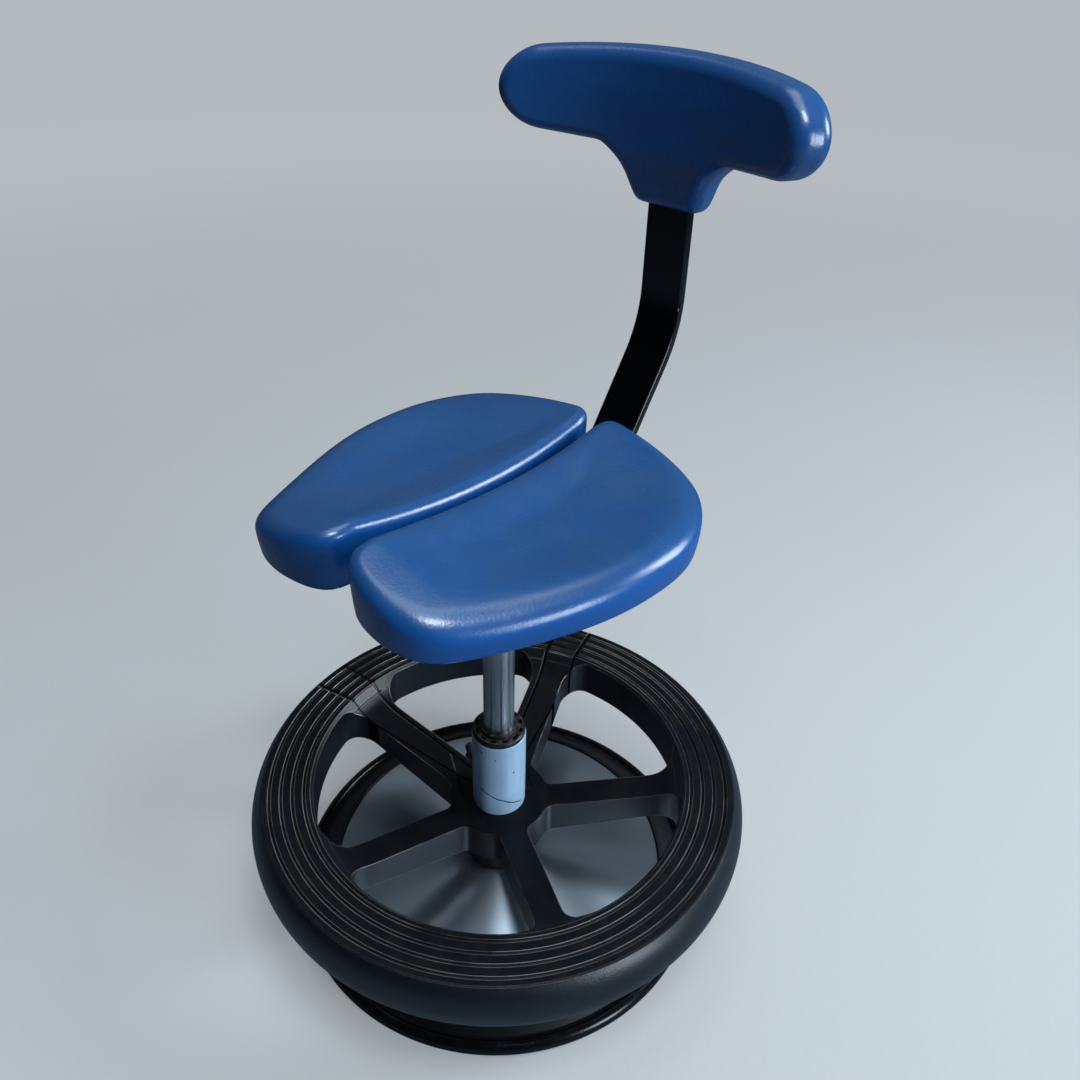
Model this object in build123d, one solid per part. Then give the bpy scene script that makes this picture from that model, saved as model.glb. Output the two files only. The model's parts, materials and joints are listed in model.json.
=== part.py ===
from build123d import *

import math
import os

# Split-seat posture chair with a foot ring. Millimetres, +Z up, chair front towards -Y, sitter's left
# towards +X. The origin is the centre of the base on the floor. The gas spring's axis is the Z axis.

os.makedirs("parts", exist_ok=True)

# ---- driving dimensions -------------------------------------------------------------------------
base_turn = 60.6          # how far the base and foot ring stand turned under the seat, degrees
running_gap = 0.05        # radial clearance of a sliding or turning fit
seat_gap = 0.3            # radial clearance of a fixed part in its seat

floor_radius = 198.0      # black edge ring, at its lip
flat_radius = 195.0       # outer edge of the flat face that stands on the floor
lip_height = 12.0
cover_radius = 161.0
cover_edge_height = 23.0
cover_centre_height = 36.0
cover_thickness = 1.5
weight_radius = 156.0
weight_bottom = 3.0
weight_top = 20.0
edge_ring_inner = 118.0
base_screw_circle = 137.0

boss_radius = 32.0
boss_top = 71.5
boss_flange_radius = 47.0
boss_flange_top = 26.0
column_screw_circle = 40.0

tube_radius = 25.0
tube_wall = 2.5
tube_top = 196.0
tube_floor = 3.0          # thickness of the plate that closes the tube's lower end

bush_bottom = 118.0
bush_flange_radius = 24.4
bush_flange_top = 201.0
bush_lip_top = 203.5
bush_slots = 12
bush_slot_circle = 20.4

rod_radius = 5.0
rod_bottom = 12.0
rod_shoulder = 26.0
rod_top = 174.0
piston_bottom = 163.0

cylinder_radius = 14.0
cylinder_bore = 12.5
cylinder_bottom = 130.0
cylinder_bore_top = 372.0
taper_start = 352.0
taper_small_radius = 13.2
cylinder_top = 396.0
pin_radius = 3.5
pin_bottom = 377.0

hub_radius = 47.0
hub_bottom = 72.0
hub_top = 108.0
spoke_count = 5
spoke_half_width = 13.0
split_spoke_half_width = 16.5
spoke_top_knee = (140.0, 123.0)      # radius and height where the spoke's top turns up to the rim
rim_inner = 173.0
rim_crest = 175.5
rim_top = 146.0
rim_bottom = 100.0
rim_outer = 230.5
groove_first = 181.0
groove_pitch = 10.4
groove_count = 4
groove_width = 2.6
groove_depth = 2.4
last_ridge_radius = 218.6
split_half_angle = 43.0   # half the angle of rim that the rear segment covers
split_offset = 10.0       # split line, beside the centre line of the two split spokes
split_block = 33.0        # half width of the rear segment's hub block
split_gap = 0.5
ring_knob_height = 90.0
ring_screw_height = 82.0

pad_bottom = 432.0
board_bottom = 420.0
board_share = (0.70, 0.72)          # the board's width and length against the pad's
pad_centre = (76.0, -20.0)
pad_low_point = 463.0     # height of the seat's lowest line, beside the gap
pad_low_y = 10.0
pad_dish_reach = 140.0    # how far ahead of the lowest line the top still rises

plate_top = 420.0
plate_bottom = 417.0
plate_half_width = 92.0
plate_front = -72.0
plate_rear = 98.0
pan_half_width = 44.0
pan_half_length = 38.0
pan_bottom = 388.0
pan_wall = 3.0
socket_radius = 19.5

lever_pivot = (-30.0, 404.0)         # x and height of the lever's pivot
lever_rod_radius = 4.0
lever_end = -150.0
lever_drop = 10.0

bar_width = 40.0
bar_thickness = 9.0
bar_upright_y = 193.0
bar_upper_bend = (193.0, 532.0)      # y and height where the upright's line meets the slope's line
bar_lower_bend = (115.8, 412.4)
bar_upper_radius = 105.0
bar_lower_radius = 25.0
bar_top = 712.0
bar_tail_y = 44.0
bar_slot = (55.0, 90.0)
bar_play = 0.1
bracket_front = 47.0
bracket_rear = 97.0
knob_y = 85.0

back_radius = 260.0       # radius of the back pad's curved middle surface
back_middle_y = 186.5
back_thickness = 29.0
back_half_span = 139.5
back_end_height = 706.0   # middle of the wing's round end
back_top = 742.0
back_underside = 671.5    # underside of the wings beside the neck
neck_bottom = 630.0
neck_half_width = 28.5
neck_top_half_width = 37.0
back_board_thickness = 4.0
back_board_half_width = 55.0
back_board_heights = (677.0, 710.0)


# ---- small shape helpers ------------------------------------------------------------------------
def turned(*points):
    """A solid of revolution about the Z axis from (radius, height) corners."""
    outline = make_face(Polyline(*points, close=True))
    return revolve(Plane.XZ * outline, Axis.Z)


def round_bar(radius, bottom, top, x=0.0, y=0.0):
    """An upright cylinder."""
    shape = Cylinder(radius, top - bottom, align=(Align.CENTER, Align.CENTER, Align.MIN))
    return Pos(x, y, bottom) * shape


def pipe(outer, inner, bottom, top):
    """An upright tube on the Z axis."""
    return turned((inner, bottom), (outer, bottom), (outer, top), (inner, top))


def block(x_range, y_range, z_range):
    """A box between three pairs of limits."""
    sizes = [high - low for low, high in (x_range, y_range, z_range)]
    corner = (x_range[0], y_range[0], z_range[0])
    return Pos(*corner) * Box(*sizes, align=(Align.MIN, Align.MIN, Align.MIN))


def flat(sketch, bottom, top):
    """An upright extrusion of a plan outline."""
    return extrude(Pos(0, 0, bottom) * sketch, amount=top - bottom, dir=(0, 0, 1))


def ring_of(shape, count, start=0.0):
    """Copies of a shape, evenly spaced about the Z axis."""
    return [Rot(0, 0, start + 360.0 * i / count) * shape for i in range(count)]


def group(shapes):
    """Separate solids kept together in one part."""
    return Compound([solid for shape in shapes for solid in shape.solids()])


def cap_screw(thread, length, head, head_height):
    """A socket-head screw, its head above the XY plane and its thread below."""
    body = round_bar(thread, -length, 0.0) + round_bar(head, 0.0, head_height)
    body = chamfer(body.edges().group_by(Axis.Z)[-1], head * 0.12)
    socket = extrude(RegularPolygon(head * 0.55, 6), amount=head_height * 0.6)
    return body - Pos(0, 0, head_height * 0.45) * socket


# ---- base ---------------------------------------------------------------------------------------
def make_base_weight():
    body = turned((14.0, weight_bottom), (weight_radius, weight_bottom),
                  (weight_radius, weight_top - 3.0), (weight_radius - 3.0, weight_top), (14.0, weight_top))
    body -= ring_of(round_bar(3.0, weight_bottom, 16.0, x=base_screw_circle), 6)
    body -= ring_of(round_bar(3.0, 8.0, weight_top, x=column_screw_circle), 4, 45.0)
    return body


def make_base_edge_ring():
    lip = make_face(
        Polyline((edge_ring_inner, 0.0), (flat_radius, 0.0))
        + ThreePointArc((flat_radius, 0.0), (floor_radius, 5.0), (floor_radius - 4.0, lip_height))
        + ThreePointArc((floor_radius - 4.0, lip_height), (floor_radius - 7.0, lip_height + 0.6),
                        (floor_radius - 10.0, lip_height - 1.5))
        + Polyline((floor_radius - 10.0, lip_height - 1.5), (floor_radius - 13.0, lip_height - 2.0),
                   (cover_radius + 5.0, cover_edge_height + 0.5),
                   (cover_radius + 1.5, cover_edge_height + 1.5),
                   (cover_radius, cover_edge_height), (cover_radius, weight_top - 2.0),
                   (weight_radius + seat_gap, weight_top - 2.0), (weight_radius + seat_gap, weight_bottom),
                   (edge_ring_inner, weight_bottom), (edge_ring_inner, 0.0)))
    body = revolve(Plane.XZ * lip, Axis.Z)
    sink = turned((0.0, 0.0), (6.2, 0.0), (3.2, weight_bottom), (0.0, weight_bottom))
    return body - ring_of(Pos(base_screw_circle, 0, 0) * sink, 6)


def make_base_screws():
    head = turned((0.0, 0.4), (5.6, 0.4), (3.0, weight_bottom), (3.0, 15.0), (0.0, 15.0))
    socket = extrude(RegularPolygon(2.3, 6), amount=2.0)
    return group(ring_of(Pos(base_screw_circle, 0, 0) * (head - socket), 6))


def make_base_cover():
    rise = cover_centre_height - cover_edge_height
    hole = boss_radius + seat_gap
    edge = cover_radius - 0.4
    middle = (edge + hole) / 2
    top = ThreePointArc((edge, cover_edge_height), (middle, cover_edge_height + rise * 0.62),
                        (hole, cover_centre_height))
    low = ThreePointArc((hole, cover_centre_height - cover_thickness),
                        (middle, cover_edge_height + rise * 0.62 - cover_thickness),
                        (edge - cover_thickness, cover_edge_height - cover_thickness))
    skirt = Polyline(low @ 1, (edge - cover_thickness, weight_top), (edge, weight_top), top @ 0)
    section = make_face(top + Line(top @ 1, low @ 0) + low + skirt)
    return revolve(Plane.XZ * section, Axis.Z)


def make_column_boss():
    bore = tube_radius + 0.02
    body = turned((bore, weight_top), (boss_flange_radius, weight_top),
                  (boss_flange_radius, boss_flange_top), (boss_radius, boss_flange_top),
                  (boss_radius, boss_top - 2.0), (boss_radius - 2.0, boss_top), (bore, boss_top))
    return body - ring_of(round_bar(3.3, weight_top, boss_flange_top, x=column_screw_circle), 4, 45.0)


def make_column_screws():
    screw = Pos(column_screw_circle, 0, boss_flange_top) * cap_screw(3.0, 17.0, 5.0, 5.0)
    return group(ring_of(screw, 4, 45.0))


def make_column_tube():
    inner = tube_radius - tube_wall
    hole = rod_radius + 0.5
    return turned((hole, weight_top), (tube_radius, weight_top), (tube_radius, tube_top - 0.8),
                  (tube_radius - 0.8, tube_top), (inner, tube_top), (inner, weight_top + tube_floor),
                  (hole, weight_top + tube_floor))


def make_guide_bush():
    outer = tube_radius - tube_wall - 0.02
    bore = cylinder_radius + running_gap
    body = turned((bore, bush_bottom), (outer, bush_bottom), (outer, tube_top),
                  (bush_flange_radius, tube_top), (bush_flange_radius, bush_flange_top - 1.2),
                  (bush_flange_radius - 1.2, bush_flange_top),
                  (17.4, bush_flange_top), (17.0, bush_lip_top), (bore, bush_lip_top))
    slot = extrude(Pos(bush_slot_circle, 0, bush_flange_top - 3.5) * Rot(0, 0, 90)
                   * SlotOverall(5.6, 2.6), amount=6.0)
    return body - ring_of(slot, bush_slots)


def make_thrust_bearing():
    """A washer with a ring of balls on it, under the rod's shoulder."""
    low = weight_top + tube_floor
    washer = pipe(11.0, rod_radius + 0.4, low, low + 0.9)
    balls = ring_of(Pos(8.2, 0, low + 1.9) * Sphere(0.98), 9)
    return group([washer] + balls)


# ---- spindle ------------------------------------------------------------------------------------
def make_spring_rod():
    return turned((0.0, rod_bottom), (rod_radius - 1.0, rod_bottom), (rod_radius - 1.0, rod_bottom + 2.0),
                  (rod_radius - 1.4, rod_bottom + 2.0), (rod_radius - 1.4, rod_bottom + 3.6),
                  (rod_radius - 1.0, rod_bottom + 3.6), (rod_radius - 1.0, rod_shoulder),
                  (rod_radius, rod_shoulder), (rod_radius, piston_bottom), (3.4, piston_bottom),
                  (3.4, rod_top), (0.0, rod_top))


def make_rod_shoulder():
    return pipe(10.5, rod_radius, rod_shoulder, rod_shoulder + 1.5)


def make_rod_piston():
    outer = cylinder_bore - running_gap
    return turned((3.4, piston_bottom), (outer, piston_bottom), (outer, piston_bottom + 3.0),
                  (outer - 1.5, piston_bottom + 3.6), (outer - 1.5, piston_bottom + 6.4),
                  (outer, piston_bottom + 7.0), (outer, rod_top - 1.0), (3.4, rod_top - 1.0))


def make_rod_clip():
    low = rod_bottom + 2.1
    clip = pipe(8.5, rod_radius - 1.4, low, low + 1.4)
    return clip - block((0.0, 20.0), (-2.6, 2.6), (low, low + 1.4))


# ---- gas cylinder -------------------------------------------------------------------------------
def make_gas_cylinder():
    pin_hole = pin_radius + running_gap
    return turned((cylinder_bore, cylinder_bottom), (cylinder_radius, cylinder_bottom),
                  (cylinder_radius, taper_start), (taper_small_radius, cylinder_top),
                  (pin_hole, cylinder_top), (pin_hole, cylinder_bore_top),
                  (cylinder_bore, cylinder_bore_top))


def make_cylinder_gland():
    return pipe(cylinder_bore, rod_radius + running_gap, cylinder_bottom + 1.0, cylinder_bottom + 13.0)


def make_release_pin():
    top = lever_pivot[1] - lever_rod_radius - 0.08
    shank = round_bar(pin_radius, pin_bottom, top - pin_radius)
    return shank + Pos(0, 0, top - pin_radius) * Sphere(pin_radius)


# ---- foot ring ----------------------------------------------------------------------------------
def rim_body():
    """The rim's hollow section, without its grooves."""
    crest = last_ridge_radius + 1.5
    outer = Spline((crest, rim_top - 0.6), (227.4, 134.9), (rim_outer, 117.0), (226.0, rim_bottom + 2.0))
    shell = make_face(outer + Polyline(outer @ 1, (223.0, rim_bottom), (218.0, rim_bottom), (222.0, 128.0),
                                       (215.0, 138.0), (180.5, 138.0), (178.0, 107.0),
                                       (rim_inner - 5.0, 105.0), (rim_inner - 5.0, rim_top - 8.0),
                                       (rim_crest, rim_top), (last_ridge_radius, rim_top), outer @ 0))
    return revolve(Plane.XZ * shell, Axis.Z)


def groove_cutters():
    """Round-bottomed grooves between the rim's ridges."""
    half = groove_width / 2
    cutters = []
    for i in range(groove_count):
        middle = groove_first + i * groove_pitch
        mouth = Line((middle + half, rim_top + 1.0), (middle - half, rim_top + 1.0))
        side = Line(mouth @ 1, (middle - half, rim_top - groove_depth + 1.0))
        floor = ThreePointArc(side @ 1, (middle, rim_top - groove_depth),
                              (middle + half, rim_top - groove_depth + 1.0))
        section = make_face(mouth + side + floor + Line(floor @ 1, mouth @ 0))
        cutters.append(revolve(Plane.XZ * section, Axis.Z))
    return cutters


def spoke_dish():
    """The dished disc from hub to rim that the five openings are cut from."""
    bore = tube_radius + running_gap + 0.03
    knee = Line((hub_radius + 1.0, hub_top), spoke_top_knee)
    rise = ThreePointArc(spoke_top_knee, (160.0, 130.5), (rim_crest, rim_top - 0.5))
    under = Polyline(rise @ 1, (178.5, rim_top - 0.5), (178.5, 107.0), (160.0, 99.0),
                     (hub_radius, hub_bottom), (bore, hub_bottom), (bore, hub_top), knee @ 0)
    return revolve(Plane.XZ * make_face(knee + rise + under), Axis.Z)


def openings():
    """Plan of the five openings between the spokes, with round corners. The rear one is on +Y."""
    plan = Circle(rim_inner) - Circle(hub_radius)
    for i in range(spoke_count):
        angle = -90.0 + 360.0 / spoke_count * i
        split = i in (2, 3)
        half = split_spoke_half_width if split else spoke_half_width
        spoke = Rectangle(200.0, 2 * half, align=(Align.MIN, Align.CENTER))
        plan -= Rot(0, 0, angle) * spoke
    outer = [v for v in plan.vertices() if math.hypot(v.X, v.Y) > rim_inner - 10.0]
    plan = fillet(outer, 20.0)
    inner = [v for v in plan.vertices() if math.hypot(v.X, v.Y) < hub_radius + 2.0]
    return fillet(inner, 9.0)


def whole_foot_ring():
    body = rim_body() + spoke_dish()
    body -= flat(openings(), 60.0, 160.0)
    for cutter in groove_cutters():
        body -= cutter
    return body


def rear_region(grow):
    """Plan of the rear segment: a rim sector, the strips beside two spokes and the hub block."""
    spoke_angle = math.radians(90.0 - 180.0 / spoke_count)
    along = (math.cos(spoke_angle), math.sin(spoke_angle))
    offset = split_offset - grow
    side = split_block + grow
    meet = (side + offset * along[1]) / along[0]
    corner = (side, offset * along[0] + meet * along[1])
    reach = rim_inner + 2.5
    end = (-offset * along[1] + reach * along[0], offset * along[0] + reach * along[1])
    inner = Polyline((side, -grow), corner, end, (0.0, reach * 1.3), (-end[0], end[1]),
                     (-corner[0], corner[1]), (-side, -grow), close=True)
    far = 260.0
    half = math.radians(split_half_angle) + grow / rim_inner
    tip = (far * math.sin(half), far * math.cos(half))
    sector = make_face(Polyline((0.0, 0.0), tip, (0.0, far * 1.5), (-tip[0], tip[1]), close=True))
    middle = make_face(inner) & Circle(reach - grow)
    return middle + (sector - Circle(rim_inner + 2.0 - grow))


def make_foot_ring(whole):
    body = whole - flat(rear_region(split_gap), 50.0, 170.0)
    body -= ring_screw_holes()
    return body


def make_foot_ring_rear(whole):
    body = whole & flat(rear_region(0.0), 50.0, 170.0)
    body -= ring_screw_holes()
    stud_hole = Pos(0, 45.0, ring_knob_height) * Rot(90, 0, 0) * Cylinder(4.05, 90.0)
    return body - stud_hole


def ring_screw_frames():
    """Places of the screws that pull the rear block onto the hub, each pointing forwards."""
    return [Pos(x, 34.0, ring_screw_height) * Rot(-90, 0, 0) for x in (-29.2, 29.2)]


def ring_screw_holes():
    hole = round_bar(2.6, -34.0, 0.0) + round_bar(4.6, 0.0, 50.0)
    return [frame * hole for frame in ring_screw_frames()]


def make_ring_clamp_screws():
    return group([frame * cap_screw(2.5, 30.0, 4.4, 5.0) for frame in ring_screw_frames()])


# ---- seat mechanism -----------------------------------------------------------------------------
def taper_radius(height, gap):
    run = (height - taper_start) / (cylinder_top - taper_start)
    return cylinder_radius + (taper_small_radius - cylinder_radius) * run + gap


def make_mount_socket():
    low = taper_start + 0.5
    return turned((taper_radius(low, 0.02), low), (socket_radius - 2.0, low), (socket_radius, low + 2.0),
                  (socket_radius, pan_bottom), (taper_radius(pan_bottom, 0.02), pan_bottom))


def make_mount_plate():
    plate = flat(Pos(0, (plate_front + plate_rear) / 2) * RectangleRounded(
        2 * plate_half_width, plate_rear - plate_front, 14.0), plate_bottom, plate_top)
    outer = flat(RectangleRounded(2 * pan_half_width, 2 * pan_half_length, 10.0), pan_bottom, plate_top)
    inner = flat(RectangleRounded(2 * (pan_half_width - pan_wall), 2 * (pan_half_length - pan_wall), 7.0),
                 pan_bottom + pan_wall, plate_top)
    body = plate + outer - inner
    body -= round_bar(taper_small_radius + 0.6, pan_bottom, pan_bottom + pan_wall)
    body -= block((-pan_half_width - 1.0, -pan_half_width + 5.0), (-7.0, 7.0), (396.0, 412.5))
    body -= round_bar(4.2, plate_bottom, plate_top, y=knob_y)
    for x, y in plate_screw_places():
        body -= round_bar(3.2, plate_bottom, plate_top, x=x, y=y)
    for x, y in bracket_screw_places():
        body -= round_bar(2.5, plate_bottom, plate_top, x=x, y=y)
    return body


def plate_screw_places():
    left = ((32.0, -60.0), (78.0, -48.0), (78.0, 48.0), (60.0, 82.0))
    return [(side * x, y) for side in (-1, 1) for x, y in left]


def bracket_screw_places():
    return [(side * 32.0, y) for side in (-1, 1) for y in (56.0, 88.0)]


def make_plate_screws():
    screw = Rot(180, 0, 0) * cap_screw(3.0, 10.0, 5.4, 4.0)
    return group([Pos(x, y, plate_bottom) * screw for x, y in plate_screw_places()])


def make_lever_bracket():
    x, z = lever_pivot
    ears = block((x - 8.0, x + 8.0), (-12.0, 12.0), (pan_bottom + pan_wall, z + 6.0))
    ears -= block((x - 8.0, x + 8.0), (-8.0, 8.0), (pan_bottom + pan_wall + 2.0, z + 6.0))
    return ears - Pos(x, 0, z) * Rot(90, 0, 0) * Cylinder(2.5, 40.0)


def make_lever_pin():
    x, z = lever_pivot
    return Pos(x, 0, z) * Rot(90, 0, 0) * (Cylinder(2.5, 25.0) + Pos(0, 0, 13.0) * Cylinder(3.6, 1.6))


def make_height_lever():
    x, z = lever_pivot
    path = Polyline((6.0, 0.0, z), (x - 22.0, 0.0, z), (x - 42.0, 0.0, z - lever_drop),
                    (lever_end + 8.0, 0.0, z - lever_drop))
    section = Plane(origin=path @ 0, z_dir=path % 0) * Circle(lever_rod_radius)
    rod = sweep(section, path, transition=Transition.ROUND)
    hub = Pos(x, 0, z) * Rot(90, 0, 0) * Cylinder(6.0, 14.0)
    return rod + hub - Pos(x, 0, z) * Rot(90, 0, 0) * Cylinder(2.5 + running_gap, 20.0)


def make_lever_grip():
    z = lever_pivot[1] - lever_drop
    length = 42.0
    body = Box(length, 20.0, 11.0)
    body = fillet(body.edges(), 4.5)
    bore = Pos(4.0, 0, 0) * Rot(0, 90, 0) * Cylinder(lever_rod_radius, length)
    return Pos(lever_end + length / 2, 0, z) * (body - bore)


# ---- seat pads ----------------------------------------------------------------------------------
def pad_outline():
    """Plan of the left pad at its widest: nearly straight beside the gap, full at the outside."""
    inner = Spline((8.0, -138.0), (4.5, -60.0), (4.0, 20.0), (5.2, 102.0))
    corner = Spline(inner @ 1, (9.5, 115.0), (23.0, 120.5), tangents=((0.1, 1.0), (1.0, 0.0)))
    outer = Spline(corner @ 1, (58.0, 117.5), (90.0, 110.5), (116.0, 98.0), (137.0, 74.0), (149.0, 45.0),
                   (152.0, 12.0), (148.0, -30.0), (138.0, -68.0), (124.0, -104.0), (107.0, -138.0),
                   (92.0, -156.0), (68.0, -165.0), (38.0, -164.0), (16.0, -155.0), inner @ 0)
    return make_face(inner + corner + outer)


def pad_top_height(x, y):
    """Height of the left pad's top: dished along the seat, falling outwards at the front and rear."""
    away = max(y - pad_low_y, -pad_dish_reach)
    rise = 0.00083 if away < 0 else 0.00125
    fall = 0.0175 + (0.0000095 if away < 0 else 0.000006) * away * away
    return pad_low_point + rise * away * away - fall * (x - 10.0)


def make_seat_pad_left():
    rows = [[Vector(x, y, pad_top_height(x, y)) for x in range(-20, 181, 40)] for y in range(-190, 151, 34)]
    top = Face.make_surface_from_array_of_points(rows)
    under = extrude(top, amount=90.0, dir=(0, 0, -1))
    body = flat(pad_outline(), pad_bottom, 520.0) & under
    return body.solid()


def make_seat_board_left():
    centred = Pos(-pad_centre[0], -pad_centre[1]) * pad_outline()
    plan = Pos(*pad_centre) * scale(centred, by=(board_share[0], board_share[1], 1.0))
    board = flat(plan, board_bottom, pad_bottom)
    for x, y in plate_screw_places():
        board -= round_bar(3.0, board_bottom, board_bottom + 8.0, x=x, y=y)
    for x, y in bracket_screw_places():
        board -= round_bar(3.0, board_bottom, board_bottom + 6.0, x=x, y=y)
    return board


# ---- back rest ----------------------------------------------------------------------------------
def bar_path():
    """Centre line of the bent bar, from its tail under the seat to its top inside the pad."""
    tail = (0.0, bar_tail_y, bar_lower_bend[1])
    low = (0.0, bar_lower_bend[0], bar_lower_bend[1])
    high = (0.0, bar_upper_bend[0], bar_upper_bend[1])
    halfway = (0.0, (low[1] + high[1]) / 2, (low[2] + high[2]) / 2)
    top = (0.0, bar_upright_y, bar_top)
    lower = FilletPolyline(tail, low, halfway, radius=bar_lower_radius)
    upper = FilletPolyline(lower @ 1, high, top, radius=bar_upper_radius)
    return lower + upper


def make_back_bar():
    path = bar_path()
    section = Plane(origin=(0, bar_tail_y, bar_lower_bend[1]), x_dir=(1, 0, 0), z_dir=(0, 1, 0))
    bar = sweep(section * RectangleRounded(bar_width, bar_thickness, 2.5), path)
    low = bar_lower_bend[1] - bar_thickness
    plan = SlotOverall(bar_slot[1] - bar_slot[0], 8.6)
    slot = extrude(Pos(0, (bar_slot[0] + bar_slot[1]) / 2, low) * Rot(0, 0, 90) * plan, amount=20.0)
    return bar - slot - back_screw_holes(3.0)


def back_screw_frames():
    """Places of the screws through the back board and the bar's top, each pointing backwards."""
    front = bar_upright_y - bar_thickness / 2 - back_board_thickness
    return [Pos(0, front, z) * Rot(90, 0, 0) for z in (684.0, 702.0)]


def back_screw_holes(radius):
    return [frame * round_bar(radius, -11.5, 0.0) for frame in back_screw_frames()]


def make_back_screws():
    return group([frame * cap_screw(3.0, 11.5, 5.2, 3.4) for frame in back_screw_frames()])


def back_board_block(grow):
    rear = bar_upright_y - bar_thickness / 2
    low, high = back_board_heights
    return block((-back_board_half_width - grow, back_board_half_width + grow),
                 (rear - back_board_thickness - grow, rear + grow), (low - grow, high + grow))


def make_back_board():
    return back_board_block(0.0) - back_screw_holes(3.0)


def back_outline():
    """Front view of the T-shaped pad, in x and height: the right half, then its mirror image."""
    wing = Spline((54.0, back_underside), (90.0, back_underside + 3.5), (118.0, back_underside + 8.0),
                  (133.0, back_end_height - 15.0), (back_half_span, back_end_height),
                  (134.0, back_end_height + 15.0), (118.0, back_top - 9.0), (70.0, back_top - 2.5),
                  (0.0, back_top), tangents=((1, 0.05), (-1, 0)))
    throat = Spline((neck_half_width, neck_bottom), (neck_top_half_width, 652.0), wing @ 0,
                    tangents=((0.2, 1), (1, 0.05)))
    face = make_face(throat + wing + Polyline(wing @ 1, (0.0, neck_bottom), throat @ 0))
    return face + mirror(face, Plane.YZ)


def make_back_pad():
    """The T cut from a curved slab, with pockets for the bar, the board and the screws."""
    slab_centre = (0.0, back_middle_y - back_radius)
    half = back_thickness / 2
    slab = Pos(*slab_centre) * (Circle(back_radius + half) - Circle(back_radius - half))
    front = Plane(origin=(0, 260.0, 0), x_dir=(1, 0, 0), z_dir=(0, -1, 0))
    body = extrude(front * back_outline(), amount=200.0) & flat(slab, 600.0, 800.0)
    gap = 0.1
    bar = block((-bar_width / 2 - gap, bar_width / 2 + gap),
                (bar_upright_y - bar_thickness / 2 - gap, bar_upright_y + bar_thickness / 2 + gap),
                (600.0, bar_top + 2.0))
    body -= bar
    body -= back_board_block(gap)
    for frame in back_screw_frames():
        body -= frame * round_bar(6.0, -14.5, 4.5)
    return body


def make_back_bracket():
    side = bar_width / 2 + bar_play
    bottom = bar_lower_bend[1] - bar_thickness / 2 - bar_play
    wall = 3.0
    lengthwise = (bracket_front, bracket_rear)
    body = block((-side - wall, side + wall), lengthwise, (bottom - wall, plate_bottom))
    body += block((-42.0, 42.0), lengthwise, (plate_bottom - wall, plate_bottom))
    body -= block((-side, side), lengthwise, (bottom, plate_bottom))
    body -= round_bar(4.1, 390.0, bottom, y=knob_y)
    for x, y in bracket_screw_places():
        body -= round_bar(2.6, plate_bottom - wall, plate_bottom, x=x, y=y)
    return body


def make_bracket_screws():
    screw = Rot(180, 0, 0) * cap_screw(2.5, 8.0, 4.4, 3.5)
    return group([Pos(x, y, plate_bottom - 3.0) * screw for x, y in bracket_screw_places()])


# ---- knobs --------------------------------------------------------------------------------------
def star_knob(radius, height, stud_radius):
    """A five-lobed hand knob on the Z axis, its flat side up at z = 0, with a hole for its stud."""
    plan = Circle(radius * 0.72)
    for i in range(5):
        plan += Rot(0, 0, 72.0 * i) * (Pos(radius * 0.68, 0) * Circle(radius * 0.32))
    hollows = [v for v in plan.vertices() if math.hypot(v.X, v.Y) < radius * 0.85]
    plan = fillet(hollows, radius * 0.14)
    body = extrude(plan, amount=-height)
    body = fillet(body.edges().group_by(Axis.Z)[0], 2.0)
    collar = round_bar(radius * 0.45, 0.0, 2.0)
    return body + collar - round_bar(stud_radius, -height * 0.7, 2.0)


def back_knob_frame():
    under = bar_lower_bend[1] - bar_thickness / 2 - bar_play - 3.0
    return Pos(0, knob_y, under - 3.0)


def make_back_knob():
    return back_knob_frame() * star_knob(19.0, 17.0, 4.0)


def make_back_knob_stud():
    top = plate_top - back_knob_frame().position.Z
    return back_knob_frame() * round_bar(4.0, -17.0 * 0.7, top)


def ring_knob_frame():
    """The ring knob's place: behind the hub block, its stud pointing forwards at the tube."""
    return Pos(0, 66.0, ring_knob_height) * Rot(90, 0, 0)


def make_ring_knob():
    return ring_knob_frame() * star_knob(16.0, 15.0, 4.0)


def make_ring_knob_stud():
    reach = 66.0 - tube_radius - 0.1
    return ring_knob_frame() * round_bar(4.0, -15.0 * 0.7, reach)


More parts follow.
